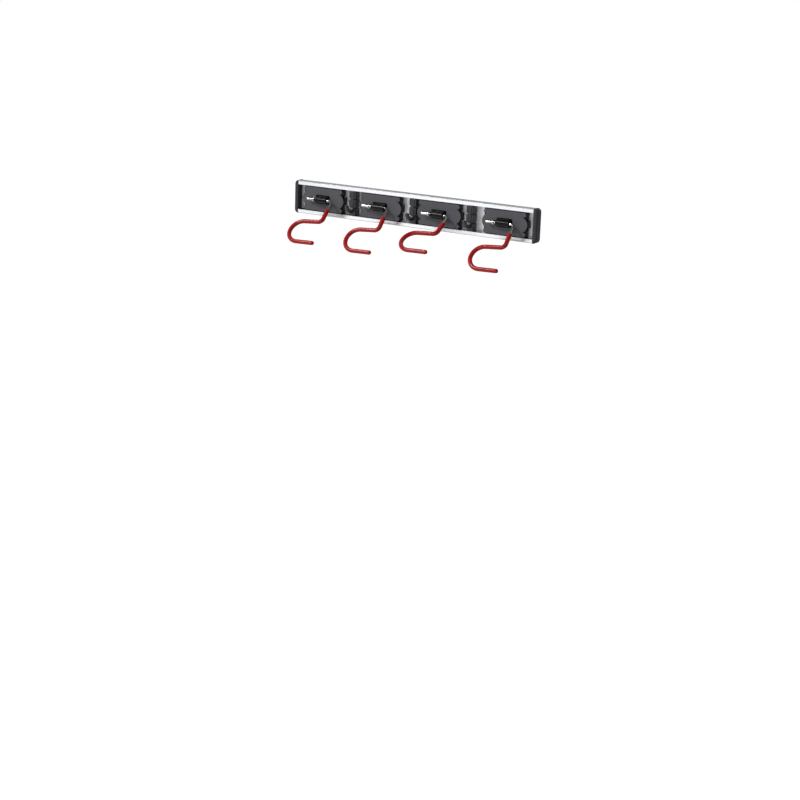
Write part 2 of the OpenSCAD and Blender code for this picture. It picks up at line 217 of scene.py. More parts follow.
# %% [markdown]
# ### Blasted nylon
# The J hooks are black nylon too, but from a blasted mould. Its fine pits spread the highlight into a wide
# grey sheen. The pits are drawn 0.7 mm wide, so that they show, and patches 6 mm wide are rubbed smoother in
# use.

# %% Blasted nylon
blasted_black, tree, place = new_finish("blasted_black_nylon", Specular_IOR_Level=0.35)
pits = add_node(tree, "ShaderNodeTexNoise", {"Vector": place, "Scale": scale_for(0.7), "Detail": 3.0})
rubs = add_node(tree, "ShaderNodeTexNoise", {"Vector": place, "Scale": scale_for(6), "Detail": 4.0})
black = add_node(tree, "ShaderNodeMix", {
    "Factor": pits.outputs["Fac"], COLOUR_A: hex_colour("#1e1e21"), COLOUR_B: hex_colour("#303034"),
}, data_type="RGBA")
sheen = add_node(tree, "ShaderNodeMapRange", {
    "Value": rubs.outputs["Fac"], "From Min": 0.3, "From Max": 0.7, "To Min": 0.3, "To Max": 0.42})
pitted = add_node(tree, "ShaderNodeBump", {
    "Height": pits.outputs["Fac"], "Strength": 0.15, "Distance": 0.05 * MM})
complete(blasted_black, black, sheen, pitted)

# %% [markdown]
# ### Rubber
# The holders' fronts are charcoal rubber, filled with chalk and soot and pressed in a blasted mould. It is
# matte, with a fine speckle of lighter grains and a little dust. The grains are drawn 0.8 mm wide, so that
# they show.

# %% Rubber
rubber, tree, place = new_finish("charcoal_rubber", Specular_IOR_Level=0.3)
speckle = add_node(tree, "ShaderNodeTexNoise", {
    "Vector": place, "Scale": scale_for(0.8), "Detail": 4.0, "Roughness": 0.7})
dust = add_node(tree, "ShaderNodeTexNoise", {"Vector": place, "Scale": scale_for(18), "Detail": 3.0})
grains = add_node(tree, "ShaderNodeMapRange", {
    "Value": speckle.outputs["Fac"], "From Min": 0.35, "From Max": 0.7})
charcoal = add_node(tree, "ShaderNodeMix", {
    "Factor": grains.outputs[0], COLOUR_A: hex_colour("#3a3a3f"), COLOUR_B: hex_colour("#5b5b61"),
}, data_type="RGBA")
matte = add_node(tree, "ShaderNodeMapRange", {
    "Value": dust.outputs["Fac"], "From Min": 0.3, "From Max": 0.7, "To Min": 0.5, "To Max": 0.66})
blasted = add_node(tree, "ShaderNodeBump", {
    "Height": speckle.outputs["Fac"], "Strength": 0.3, "Distance": 0.08 * MM})
complete(rubber, charcoal, matte, blasted)

# %% [markdown]
# ### Dipped vinyl
# The hooks' coat is red vinyl, dipped and cured in an oven. The wet vinyl flowed into slow ripples, about
# 3 mm long, and cured to a satin gloss. The colour is a touch darker where the coat is thinner.

# %% Dipped vinyl
vinyl, tree, place = new_finish("dipped_red_vinyl", Specular_IOR_Level=0.24)
ripples = add_node(tree, "ShaderNodeTexNoise", {"Vector": place, "Scale": scale_for(3), "Detail": 2.0})
cure = add_node(tree, "ShaderNodeTexNoise", {"Vector": place, "Scale": scale_for(9), "Detail": 3.0})
red = add_node(tree, "ShaderNodeMix", {
    "Factor": cure.outputs["Fac"], COLOUR_A: hex_colour("#870505"), COLOUR_B: hex_colour("#a80909"),
}, data_type="RGBA")
gloss = add_node(tree, "ShaderNodeMapRange", {
    "Value": ripples.outputs["Fac"], "From Min": 0.3, "From Max": 0.7, "To Min": 0.2, "To Max": 0.3})
flowed = add_node(tree, "ShaderNodeBump", {
    "Height": ripples.outputs["Fac"], "Strength": 0.2, "Distance": 0.15 * MM})
complete(vinyl, red, gloss, flowed)

# %% [markdown]
# ### Zinc-plated wire
# The rods and their clips are drawn steel wire with bright zinc plating. Plating follows the drawn wire
# closely, so it mirrors the room, with a faint mottle of zinc crystals about 1.5 mm wide and some duller
# handling marks.

# %% Zinc-plated wire
zinc, tree, place = new_finish("bright_zinc_plate", Metallic=1.0)
crystals = add_node(tree, "ShaderNodeTexNoise", {"Vector": place, "Scale": scale_for(1.5), "Detail": 4.0})
handled = add_node(tree, "ShaderNodeTexNoise", {"Vector": place, "Scale": scale_for(7), "Detail": 3.0})
plate = add_node(tree, "ShaderNodeMix", {
    "Factor": crystals.outputs["Fac"], COLOUR_A: hex_colour("#767675"), COLOUR_B: hex_colour("#a4a4a1"),
}, data_type="RGBA")
mirror = add_node(tree, "ShaderNodeMapRange", {
    "Value": handled.outputs["Fac"], "From Min": 0.3, "From Max": 0.7, "To Min": 0.05, "To Max": 0.12})
plated = add_node(tree, "ShaderNodeBump", {
    "Height": crystals.outputs["Fac"], "Strength": 0.08, "Distance": 0.03 * MM})
complete(zinc, plate, mirror, plated)

# %% [markdown]
# ## Modelling by hand, in code
# Each piece is modelled as it would be with a mouse: a primitive is added, shaped in edit mode, and finished
# with modifiers. An operator acts on everything that is selected, and loading the frame leaves its nodes
# selected, so each step starts by clearing the selection. Edges and faces are then picked by their place.

# %% Helpers for selecting
EXACT, NEAR = 0.01, 0.1  # how far in mm a corner may be from where it is looked for
SHARP_ANGLE = 30


def clear_selection():
    """Back to object mode with nothing selected."""
    if bpy.context.mode != "OBJECT":
        bpy.ops.object.mode_set(mode="OBJECT")
    bpy.ops.object.select_all(action="DESELECT")


def work_on(piece, mode="EDIT"):
    """Makes one piece the only selected one, in edit or object mode."""
    clear_selection()
    bpy.context.view_layer.objects.active = piece
    piece.select_set(True)
    bpy.ops.object.mode_set(mode=mode)


def pick(part, test):
    """In edit mode, selects only the edges or faces that pass a test."""
    bpy.ops.mesh.select_mode(type=part)
    bpy.ops.mesh.select_all(action="DESELECT")
    mesh = bpy.context.object.data
    shape = bmesh.from_edit_mesh(mesh)
    for element in shape.edges if part == "EDGE" else shape.faces:
        if test(element):
            element.select_set(True)
    bmesh.update_edit_mesh(mesh)


def lies_at(element, axis, value):
    """True if every corner of an edge or face lies at this value, in mm, on the axis "x", "y" or "z"."""
    return all(abs(getattr(v.co, axis) - value * MM) < EXACT * MM for v in element.verts)


def is_sharp(edge):
    """True for an edge that the eye sees as an edge, and not as part of a curve."""
    return edge.calc_face_angle(0) > math.radians(SHARP_ANGLE)


def sharp_at(y):
    """A test for the sharp edges at this Y, in mm."""
    return lambda edge: lies_at(edge, "y", y) and is_sharp(edge)


# %% [markdown]
# An outline is drawn with one vertex, as with a pen. Extrude draws a straight line, Spin draws an arc, and a
# face closes the outline. With no window open, Spin turns the other way round its axis, so the axis is given
# reversed: a positive turn is then clockwise, seen along the axis. Pushing the face out makes a solid.

# %% Helpers for shaping
X, Y, Z = (1, 0, 0), (0, 1, 0), (0, 0, 1)
ORIGIN = (0, 0, 0)
MERGE = 0.001 * MM
ARC_STEP, BAR_SIDES = 6, 48  # degrees to a step of an arc, and sides of a round bar


class Pen:
    """One vertex that draws an outline, in mm."""

    def __init__(self, name, *start):
        clear_selection()
        bpy.ops.mesh.primitive_plane_add(size=MM, enter_editmode=True, location=ORIGIN)
        bpy.context.object.name = name
        bpy.ops.mesh.select_mode(type="VERT")
        bpy.ops.mesh.select_all(action="SELECT")
        bpy.ops.mesh.merge(type="CENTER")
        bpy.ops.transform.translate(value=Vector(start) * MM)
        self.place = Vector(start)

    def line(self, *point):
        """Draws a straight line to a point."""
        step = Vector(point) - self.place
        bpy.ops.mesh.extrude_vertices_move(TRANSFORM_OT_translate={"value": step * MM})
        self.place = Vector(point)

    def arc(self, centre, axis, turn):
        """Draws an arc round a centre, by a turn in degrees."""
        middle, axis, angle = Vector(centre), Vector(axis), math.radians(turn)
        steps = max(2, math.ceil(abs(turn) / ARC_STEP))
        bpy.ops.mesh.spin(steps=steps, angle=angle, center=middle * MM, axis=-axis)
        self.place = middle + Matrix.Rotation(angle, 3, axis) @ (self.place - middle)

    def close(self):
        """Closes the outline with a face and returns the object."""
        bpy.ops.mesh.select_all(action="SELECT")
        bpy.ops.mesh.remove_doubles(threshold=MERGE)
        bpy.ops.mesh.edge_face_add()
        return bpy.context.object


def push(*step):
    """Extrudes what is selected, in mm."""
    bpy.ops.mesh.extrude_region_move(TRANSFORM_OT_translate={"value": Vector(step) * MM})


def soften(width, segments=2, test=is_sharp):
    """Rounds the edges that pass a test; without one, all sharp edges."""
    pick("EDGE", test)
    bpy.ops.mesh.bevel(offset=width * MM, segments=segments, affect="EDGES", clamp_overlap=True)


def block(name, low, high):
    """A box between two corners, in mm, left in edit mode."""
    clear_selection()
    low, high = Vector(low), Vector(high)
    bpy.ops.mesh.primitive_cube_add(size=1, enter_editmode=True, location=ORIGIN)
    bpy.context.object.name = name
    bpy.ops.transform.resize(value=(high - low) * MM)
    bpy.ops.transform.translate(value=(high + low) / 2 * MM)
    return bpy.context.object


def round_bar(name, radius, middle, axis, length):
    """A round bar along X or Y, in mm, left in edit mode."""
    clear_selection()
    bpy.ops.mesh.primitive_cylinder_add(
        vertices=BAR_SIDES, radius=radius * MM, depth=length * MM, enter_editmode=True, location=ORIGIN)
    bpy.context.object.name = name
    turn_round = "Y" if axis == "X" else "X"
    bpy.ops.transform.rotate(value=math.pi / 2, orient_axis=turn_round, center_override=ORIGIN)
    bpy.ops.transform.translate(value=Vector(middle) * MM)
    return bpy.context.object


# %% [markdown]
# A piece that is the same on both sides is drawn as a half or a quarter. The faces on the mirror planes are
# deleted and a Mirror modifier makes the rest. Boolean modifiers join and cut solids. Smooth shading would
# bend the light on a flat face towards its rounded edges, so a Weighted Normal modifier lets the large faces
# decide: flat metal then mirrors as a flat sheet does. Every modifier is applied, so that the mesh is what
# it looks like, and the count of open edges shows at once if a solid isn't closed.

# %% Helpers for finishing
SMOOTH_ANGLE = 35


def apply_modifier(piece, kind, **settings):
    """Adds a modifier to a piece, sets it and applies it."""
    work_on(piece, "OBJECT")
    bpy.ops.object.modifier_add(type=kind)
    modifier = piece.modifiers[-1]
    for name, value in settings.items():
        setattr(modifier, name, value)
    bpy.ops.object.modifier_apply(modifier=modifier.name)


def turn_outwards(piece):
    """Merges a piece's doubles and points its faces outwards; leaves it in edit mode."""
    work_on(piece)
    bpy.ops.mesh.select_all(action="SELECT")
    bpy.ops.mesh.remove_doubles(threshold=MERGE)
    bpy.ops.mesh.normals_make_consistent(inside=False)


def mirror_halves(piece, *axes):
    """Opens a half or quarter at its mirror planes, "x" or "z", and mirrors it across them."""
    work_on(piece)
    pick("FACE", lambda face: any(lies_at(face, axis, 0) for axis in axes))
    bpy.ops.mesh.delete(type="FACE")
    apply_modifier(piece, "MIRROR", use_axis=[axis in axes for axis in "xyz"], merge_threshold=MERGE)
    turn_outwards(piece)


def combine(piece, tool, how):
    """Joins a tool to a piece, or cuts it out of it."""
    apply_modifier(piece, "BOOLEAN", operation=how, solver="EXACT", object=tool)
    bpy.data.objects.remove(tool)


def finish_piece(piece, finish):
    """Gives a piece its material and smooth shading, and prints what it is."""
    work_on(piece, "OBJECT")
    piece.data.materials.clear()
    piece.data.materials.append(finish)
    bpy.ops.object.shade_smooth_by_angle(angle=math.radians(SMOOTH_ANGLE))
    apply_modifier(piece, "WEIGHTED_NORMAL", keep_sharp=True)
    shape = bmesh.new()
    shape.from_mesh(piece.data)
    open_edges = sum(not edge.is_manifold for edge in shape.edges)
    print(piece.name, len(shape.faces), "faces,", open_edges, "open edges")
    shape.free()


def set_in_place(pattern, name, where, body, node, tilt=0.0):
    """Copies a pattern with a mesh of its own, puts the copy where its CAD node is, and lets it ride."""
    work_on(pattern, "OBJECT")
    bpy.ops.object.duplicate()
    piece = bpy.context.object
    piece.name = piece.data.name = name
    piece.rotation_euler.x = math.radians(tilt)
    piece.location = Vector(where) * MM
    bpy.ops.object.transform_apply(location=True, rotation=True, scale=True)
    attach(piece, body)
    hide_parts(node)


# %% [markdown]
# ## The rail
# The real rail is one extrusion: a flat web against the wall, a wall above and below, and two lips that keep
# the slides in. It could be boxes joined together, but an extrusion is best made as one: half of its section
# is drawn with the pen, pushed along X, and mirrored. Then every edge is eased a little, as a die does, and
# the screw holes are cut and sunk.

# %% The rail
RAIL_LEN, RAIL_H, RAIL_DEPTH, WALL, LIP, EDGE_R, EASE = 484, 60, 15, 2, 7, 1.4, 0.25
SCREWS_X, SCREW_R, SINK = (-186, -62, 62, 186), 2.5, 1
left, top, front, lip_end = -RAIL_LEN / 2, RAIL_H / 2, -RAIL_DEPTH, RAIL_H / 2 - LIP
pen = Pen("rail_extrusion", left, 0, 0)
pen.line(left, 0, top)
pen.line(left, front + EDGE_R, top)
pen.arc((left, front + EDGE_R, top - EDGE_R), X, 90)
pen.line(left, front, lip_end)
pen.line(left, front + WALL, lip_end)
pen.line(left, front + WALL, top - WALL)
pen.line(left, -WALL, top - WALL)
pen.line(left, -WALL, 0)
rail = pen.close()
push(RAIL_LEN, 0, 0)
mirror_halves(rail, "z")
soften(EASE)
for x in SCREWS_X:
    combine(rail, round_bar("hole", SCREW_R, (x, -WALL / 2, 0), "Y", 2 * WALL), "DIFFERENCE")


def rims_a_hole(edge):
    """True for an edge round a screw hole, on the inside of the web."""
    return lies_at(edge, "y", -WALL) and all(abs(v.co.z) < (SCREW_R + NEAR) * MM for v in edge.verts)


work_on(rail)
soften(SINK, segments=3, test=rims_a_hole)
finish_piece(rail, aluminium)
set_in_place(rail, "rail_extrusion_1", ORIGIN, "rail", "rail")

# %% [markdown]
# ## The end caps
# A cap is a moulded cover with two tongues that plug into the rail. It starts as a box. Its two outer corners
# are rounded first and its front rim after that, because a bevel follows the edges that are there: so the rim
# runs round the corners in one smooth roll. The tongues get a lead-in, as they have to find the rail's end.
# The left cap is the right one, mirrored.

# %% The end caps
CAP_LEN, CAP_PROUD, CAP_CORNER, CAP_RIM, CAP_EASE = 8, 0.6, 7, 3.4, 0.4
TONGUE_LEN, TONGUE_ROOT, TONGUE_PLAY, LEAD_IN = 8, 1, 0.15, 0.8
right_end, outer = RAIL_LEN / 2, RAIL_LEN / 2 + CAP_LEN
cap_front, cap_top = front - CAP_PROUD, top + CAP_PROUD
cap = block("end_cap", (right_end, cap_front, -cap_top), (outer, 0, cap_top))
soften(CAP_CORNER, segments=10, test=lambda edge: lies_at(edge, "x", outer) and (
    lies_at(edge, "z", cap_top) or lies_at(edge, "z", -cap_top)))
soften(CAP_RIM, segments=8, test=lambda edge: lies_at(edge, "y", cap_front) and not (
    lies_at(edge, "x", right_end)))
soften(CAP_EASE)
tongue_tip = right_end - TONGUE_LEN
for side in (-1, 1):
    low, high = sorted((side * (lip_end + TONGUE_PLAY), side * (top - WALL - TONGUE_PLAY)))
    tongue = block("tongue", (tongue_tip, front + WALL + TONGUE_PLAY, low),
                   (right_end + TONGUE_ROOT, -WALL - TONGUE_PLAY, high))
    soften(LEAD_IN, test=lambda edge: lies_at(edge, "x", tongue_tip))
    combine(cap, tongue, "UNION")
finish_piece(cap, satin_black)
set_in_place(cap, "end_cap_moulding_right", ORIGIN, "rail", "end_cap_right")
work_on(cap)
bpy.ops.mesh.select_all(action="SELECT")
bpy.ops.transform.resize(value=(-1, 1, 1), center_override=ORIGIN)
turn_outwards(cap)
finish_piece(cap, satin_black)
set_in_place(cap, "end_cap_moulding_left", ORIGIN, "rail", "end_cap_left")

# %% [markdown]
# ## The holders' rubber fronts
# A front is a rubber plate with notched ends: a round bulge between two lobes. It is a little lower than the
# black slide that carries it, so a black line frames it. A quarter of its outline is drawn with the pen, with
# a quarter of the window that lets the hinge through. The front rim is rounded more than the back, as a
# moulding leaves its mould that way. Four pegs behind it push into the carrier.

# %% The rubber fronts
HOLDER_LEN, PAD_H, NOTCH_X, LOBE_R, LOBE_X, BULGE_R = 88, 42.4, 35.5, 4, 37, 14
CARRIER_FRONT, PAD_FRONT, PAD_RIM = -13, -16, 0.7
WINDOW_X, WINDOW_Z, WINDOW_R = 15, 8, 2.5
PEG_R, PEG_ROOT, PEG_TIP, PEG_EASE = 2.5, -14.5, -9, 0.5
PEGS = [(x, z) for x in (-31, 31) for z in (-13, 13)]
bulge_x = HOLDER_LEN / 2 - BULGE_R
notch_z = math.sqrt(BULGE_R ** 2 - (NOTCH_X - bulge_x) ** 2)
lobe_turn = 90 + math.degrees(math.acos((NOTCH_X - LOBE_X) / LOBE_R))
pen = Pen("rubber_front", WINDOW_X, CARRIER_FRONT, 0)
pen.line(WINDOW_X, CARRIER_FRONT, WINDOW_Z - WINDOW_R)
pen.arc((WINDOW_X - WINDOW_R, CARRIER_FRONT, WINDOW_Z - WINDOW_R), Y, -90)
pen.line(0, CARRIER_FRONT, WINDOW_Z)
pen.line(0, CARRIER_FRONT, PAD_H / 2)
pen.line(LOBE_X, CARRIER_FRONT, PAD_H / 2)
pen.arc((LOBE_X, CARRIER_FRONT, PAD_H / 2 - LOBE_R), Y, lobe_turn)
pen.line(NOTCH_X, CARRIER_FRONT, notch_z)
pen.arc((bulge_x, CARRIER_FRONT, 0), Y, math.degrees(math.asin(notch_z / BULGE_R)))
pad = pen.close()
push(0, PAD_FRONT - CARRIER_FRONT, 0)
mirror_halves(pad, "x", "z")
soften(PAD_RIM, segments=3, test=sharp_at(PAD_FRONT))
soften(EASE, segments=1, test=sharp_at(CARRIER_FRONT))
for x, z in PEGS:
    peg = round_bar("peg", PEG_R, (x, (PEG_ROOT + PEG_TIP) / 2, z), "Y", PEG_TIP - PEG_ROOT)
    soften(PEG_EASE)
    combine(pad, peg, "UNION")
finish_piece(pad, rubber)

# %% [markdown]
# ## The carriers
# A carrier is the hidden slide under the rubber, with flanges behind the rail's lips. What shows is its
# black, blunt end, which two slots part from the corners, and the hinge: a foot, a neck and a barrel with a
# bore. The J hooks' bases are slides of the same kind, so one function makes both. It draws a quarter, with
# the flange as a second face, so both push out together and the front goes on alone.

# %% Helper for slides
SLIDE_BACK, SLIDE_TOP, SLIDE_R = -2.3, 22.7, 2
FLANGE_FRONT, FLANGE_TOP = -12.7, 27.7
SLOT_LOW, SLOT_HIGH = 7.2, 9.2


def make_slide(name, end_x, corner_x, slot_x, flange_x, slide_front):
    """A slide with slotted ends and flanges, drawn from its top round the corner and slot to its end."""
    pen = Pen(name, 0, SLIDE_BACK, 0)
    pen.line(0, SLIDE_BACK, SLIDE_TOP)
    pen.line(flange_x, SLIDE_BACK, SLIDE_TOP)
    pen.line(corner_x - SLIDE_R, SLIDE_BACK, SLIDE_TOP)
    pen.arc((corner_x - SLIDE_R, SLIDE_BACK, SLIDE_TOP - SLIDE_R), Y, 90)
    pen.line(corner_x, SLIDE_BACK, SLOT_HIGH + SLIDE_R)
    pen.arc((corner_x - SLIDE_R, SLIDE_BACK, SLOT_HIGH + SLIDE_R), Y, 90)
    pen.line(slot_x, SLIDE_BACK, SLOT_HIGH)
    pen.line(slot_x, SLIDE_BACK, SLOT_LOW)
    pen.line(end_x - SLIDE_R, SLIDE_BACK, SLOT_LOW)
    pen.arc((end_x - SLIDE_R, SLIDE_BACK, SLOT_LOW - SLIDE_R), Y, 90)
    pen.line(end_x, SLIDE_BACK, 0)
    piece = pen.close()
    pick("EDGE", lambda edge: lies_at(edge, "z", SLIDE_TOP) and all(
        v.co.x < (flange_x + NEAR) * MM for v in edge.verts))
    push(0, 0, FLANGE_TOP - SLIDE_TOP)
    bpy.ops.mesh.select_all(action="SELECT")
    push(0, FLANGE_FRONT - SLIDE_BACK, 0)
    pick("FACE", lambda face: lies_at(face, "y", FLANGE_FRONT) and any(
        v.co.z < NEAR * MM for v in face.verts))
    push(0, slide_front - FLANGE_FRONT, 0)
    mirror_halves(piece, "x", "z")
    return piece


# %% [markdown]
# Behind, a carrier is hollow, as thick mouldings are: a pocket, and two ribs each way that leave nine deeper
# cells. The pocket, the cells and the holes for the pegs are cut with Boolean modifiers.

# %% The slide of a carrier
CORNER_X, SLOT_X, FLANGE_X = 41, 38, 36
POCKET_X, POCKET_Z, POCKET_Y, CELL_Y = 35.5, 20.2, -7, -10.5
RIB_X, RIB_Z, HALF_RIB = 24, 9, 0.9
PEG_HOLE_R, PEG_HOLE_Y, PEG_HOLE_LEN = 2.6, -12, 5
OVERRUN = 1


def between_ribs(rib, end):
    """The three stretches that two ribs leave of a pocket."""
    return ((-end, -rib - HALF_RIB), (HALF_RIB - rib, rib - HALF_RIB), (rib + HALF_RIB, end))


carrier = make_slide("carrier_moulding", HOLDER_LEN / 2, CORNER_X, SLOT_X, FLANGE_X, CARRIER_FRONT)
soften(EASE, test=sharp_at(CARRIER_FRONT))
pocket = block("pocket", (-POCKET_X, POCKET_Y, -POCKET_Z), (POCKET_X, 0, POCKET_Z))
combine(carrier, pocket, "DIFFERENCE")
for x0, x1 in between_ribs(RIB_X, POCKET_X):
    for z0, z1 in between_ribs(RIB_Z, POCKET_Z):
        combine(carrier, block("cell", (x0, CELL_Y, z0), (x1, POCKET_Y + OVERRUN, z1)), "DIFFERENCE")
for x, z in PEGS:
    hole = round_bar("peg_hole", PEG_HOLE_R, (x, PEG_HOLE_Y, z), "Y", PEG_HOLE_LEN)
    combine(carrier, hole, "DIFFERENCE")
print("slide", len(carrier.data.polygons), "faces")

# %% [markdown]
# The hinge's foot is a block with round corners that stands in the window of the rubber front. The neck and
# the barrel are drawn as one side view, pushed along X and bored.

# %% The hinge of a carrier
BARREL_LEN, BARREL_R, BARREL_RIM, BORE_R, HINGE_Y, NECK = 26, 5, 0.8, 2.55, -23, 3
FOOT_FRONT, FOOT_BACK, FOOT_Z, FOOT_RIM = -18, -11.75, 6.5, 0.7
end = -BARREL_LEN / 2


def runs_along_y(edge):
    """True for an edge whose two ends differ only in Y."""
    first = edge.verts[0].co
    return lies_at(edge, "x", first.x / MM) and lies_at(edge, "z", first.z / MM)


foot = block("foot", (end, FOOT_FRONT, -FOOT_Z), (-end, FOOT_BACK, FOOT_Z))
soften(WINDOW_R, segments=6, test=runs_along_y)
soften(FOOT_RIM, segments=3, test=lambda edge: lies_at(edge, "y", FOOT_FRONT))
combine(carrier, foot, "UNION")
pen = Pen("barrel", end, FOOT_FRONT + OVERRUN, 0)
pen.line(end, FOOT_FRONT + OVERRUN, NECK)
pen.line(end, HINGE_Y + math.sqrt(BARREL_R ** 2 - NECK ** 2), NECK)
pen.arc((end, HINGE_Y, 0), X, 180 - math.degrees(math.asin(NECK / BARREL_R)))
barrel = pen.close()
push(BARREL_LEN, 0, 0)
mirror_halves(barrel, "z")
soften(BARREL_RIM, segments=3, test=lambda edge: is_sharp(edge) and (
    lies_at(edge, "x", end) or lies_at(edge, "x", -end)))
bore = round_bar("bore", BORE_R, (0, HINGE_Y, 0), "X", BARREL_LEN + 2 * OVERRUN)
combine(barrel, bore, "DIFFERENCE")
combine(carrier, barrel, "UNION")
finish_piece(carrier, smooth_black)

# %% [markdown]
# ## The S hooks
# A hook is one bent wire. It starts left of the barrel, runs through it, bends down into a leg, turns into a
# back arm and swings round in a wide grip to its tip. A curve with a bevel could follow that route, but a
# wire bender works in straights and bends, and so does this: a ring of edges is extruded for each straight
# and spun for each bend.

# %% Helper for bent wire
RING_SIDES, BEND_STEP = 40, 5
CORNER_R, CORNER_TURN, BACK_ARM, GRIP_R, GRIP_TURN, FRONT_ARM = 8.5, -85.2, 28, 22.5, 176.9, 34


class Wire:
    """A ring that is drawn out along straights and bends in the XY plane, in mm and degrees."""

    def __init__(self, name, radius, place, heading):
        clear_selection()
        bpy.ops.mesh.primitive_circle_add(
            vertices=RING_SIDES, radius=radius * MM, enter_editmode=True, location=ORIGIN)
        bpy.context.object.name = name
        bpy.ops.mesh.select_mode(type="VERT")
        for turn, axis in ((90, "Y"), (heading, "Z")):
            bpy.ops.transform.rotate(value=math.radians(turn), orient_axis=axis, center_override=ORIGIN)
        bpy.ops.transform.translate(value=Vector(place) * MM)
        self.place, self.heading = Vector(place), heading

    def direction(self, turn=0):
        """The way ahead, or the way at a turn from it."""
        angle = math.radians(self.heading + turn)
        return Vector((math.cos(angle), math.sin(angle), 0))

    def straight(self, length, widen=1.0):
        """Draws the ring straight on, and widens its end this many times."""
        push(*self.direction() * length)
        self.place += self.direction() * length
        if widen != 1:
            bpy.ops.transform.resize(value=(widen,) * 3, center_override=self.place * MM)

    def bend(self, radius, turn):
        """Draws the ring round a bend. A positive turn is to the left, seen from above."""
        middle = self.place + self.direction(math.copysign(90, turn)) * radius
        angle, steps = math.radians(turn), math.ceil(abs(turn) / BEND_STEP)
        bpy.ops.mesh.spin(steps=steps, angle=angle, center=middle * MM, axis=-Vector(Z))
        self.place = middle + Matrix.Rotation(angle, 3, "Z") @ (self.place - middle)
        self.heading += turn

    def grip(self, leg):
        """The leg, the corner, the back arm, the round grip and the front arm."""
        self.straight(leg)
        self.bend(CORNER_R, CORNER_TURN)
        self.straight(BACK_ARM)
        self.bend(GRIP_R, GRIP_TURN)
        self.straight(FRONT_ARM)


# %% [markdown]
# The rod's left end is chamfered, as cut wire is: a smaller ring is drawn out and widened.

# %% The rod
ROD_R, STUB, CUT, LEG_X, BEND_R, LEG = 2.5, 30, 0.6, 24, 7, 32
wire = Wire("hook_wire", ROD_R - CUT, (-STUB, 0, 0), 0)
wire.straight(CUT, ROD_R / (ROD_R - CUT))
wire.straight(STUB - CUT + LEG_X - BEND_R)
wire.bend(BEND_R, -90)
wire.grip(LEG)
rod = bpy.context.object
bpy.ops.mesh.select_all(action="SELECT")
bpy.ops.mesh.fill_holes(sides=0)
turn_outwards(rod)
finish_piece(rod, zinc)

# %% [markdown]
# The coat starts 12.5 mm down the leg. It is drawn as a skin with a round tip: six shrinking rings make the
# dome. Solidify then gives it its thickness, inwards, so the wire has its bore in it, and the edge where the
# coat begins is rounded, as a dipped edge is.

# %% The coat
COAT_R, COAT_WALL, BARE, DIPPED_R = 4, 1.48, 12.5, 0.5
DOME_RINGS, DOME_STEP = 6, 14.5
start = Vector((LEG_X, -BEND_R - BARE, 0))


def rims_the_start(edge):
    """True for an edge of the coat's outer rim, where the coat begins."""
    outside = all((v.co - start * MM).length > (COAT_R - NEAR) * MM for v in edge.verts)
    return outside and lies_at(edge, "y", start.y)


wire = Wire("red_coat", COAT_R, start, -90)
wire.grip(LEG - BARE)
for ring in range(DOME_RINGS):
    before, here = math.radians(ring * DOME_STEP), math.radians((ring + 1) * DOME_STEP)
    wire.straight(COAT_R * (math.sin(here) - math.sin(before)), math.cos(here) / math.cos(before))
coat = bpy.context.object
bpy.ops.mesh.edge_face_add()
bpy.ops.mesh.poke()
turn_outwards(coat)
apply_modifier(coat, "SOLIDIFY", thickness=COAT_WALL * MM, offset=-1)
work_on(coat)
soften(DIPPED_R, segments=3, test=rims_the_start)
finish_piece(coat, vinyl)

# %% [markdown]
# ## The push-on clips
# A clip is a turned ring on the rod's stub that keeps the rod in its barrel. Half of its section is drawn
# with round corners and spun once round the rod.

# %% The push-on clip
CLIP_X, CLIP_W, CLIP_IN, CLIP_OUT, CLIP_ROUND = -16.4, 3, 2.52, 4.2, 0.8
clip_end = CLIP_X + CLIP_W
pen = Pen("push_clip", CLIP_X, CLIP_IN, 0)
pen.line(CLIP_X, CLIP_OUT - CLIP_ROUND, 0)
pen.arc((CLIP_X + CLIP_ROUND, CLIP_OUT - CLIP_ROUND, 0), Z, -90)
pen.line(clip_end - CLIP_ROUND, CLIP_OUT, 0)
pen.arc((clip_end - CLIP_ROUND, CLIP_OUT - CLIP_ROUND, 0), Z, -90)
pen.line(clip_end, CLIP_IN, 0)
pen.line(CLIP_X, CLIP_IN, 0)
clip = bpy.context.object
bpy.ops.mesh.select_all(action="SELECT")
bpy.ops.mesh.spin(steps=BAR_SIDES, angle=2 * math.pi, center=ORIGIN, axis=X)
turn_outwards(clip)
finish_piece(clip, zinc)

# %% [markdown]
# ## The four holders in place
# The rubber front, the carrier, the rod, the coat and the clip are modelled once and copied to four places. A
# holder has its place along the rail. Its hook also has the way that the rod is slid along the barrel, and
# the tilt at which it hangs, round the hinge.

# %% The four holders in place
HOLDERS = {  # place along the rail and way of the rod in mm, tilt in degrees
    1: (-187.1, 0.0, 44),
    2: (-64.75, -3.4, 41),
    3: (57.05, -1.8, 56),
    4: (187.65, -2.4, 40),
}
for n, (x, slid, tilt) in HOLDERS.items():
    hinge, turn = (x + slid, HINGE_Y, 0), 90 - tilt
    set_in_place(pad, f"rubber_front_{n}", (x, 0, 0), f"holder_{n}", f"grip_pad_{n}")
    set_in_place(
        carrier, f"carrier_moulding_{n}", (x, 0, 0), f"holder_{n}", f"carrier_{n}")
    set_in_place(rod, f"hook_wire_{n}", hinge, f"hook_{n}", f"hook_rod_{n}", turn)
    set_in_place(coat, f"red_coat_{n}", hinge, f"hook_{n}", f"hook_sleeve_{n}", turn)
    set_in_place(clip, f"push_clip_{n}", hinge, f"hook_{n}", f"rod_clip_{n}", turn)
print("four holders in place")

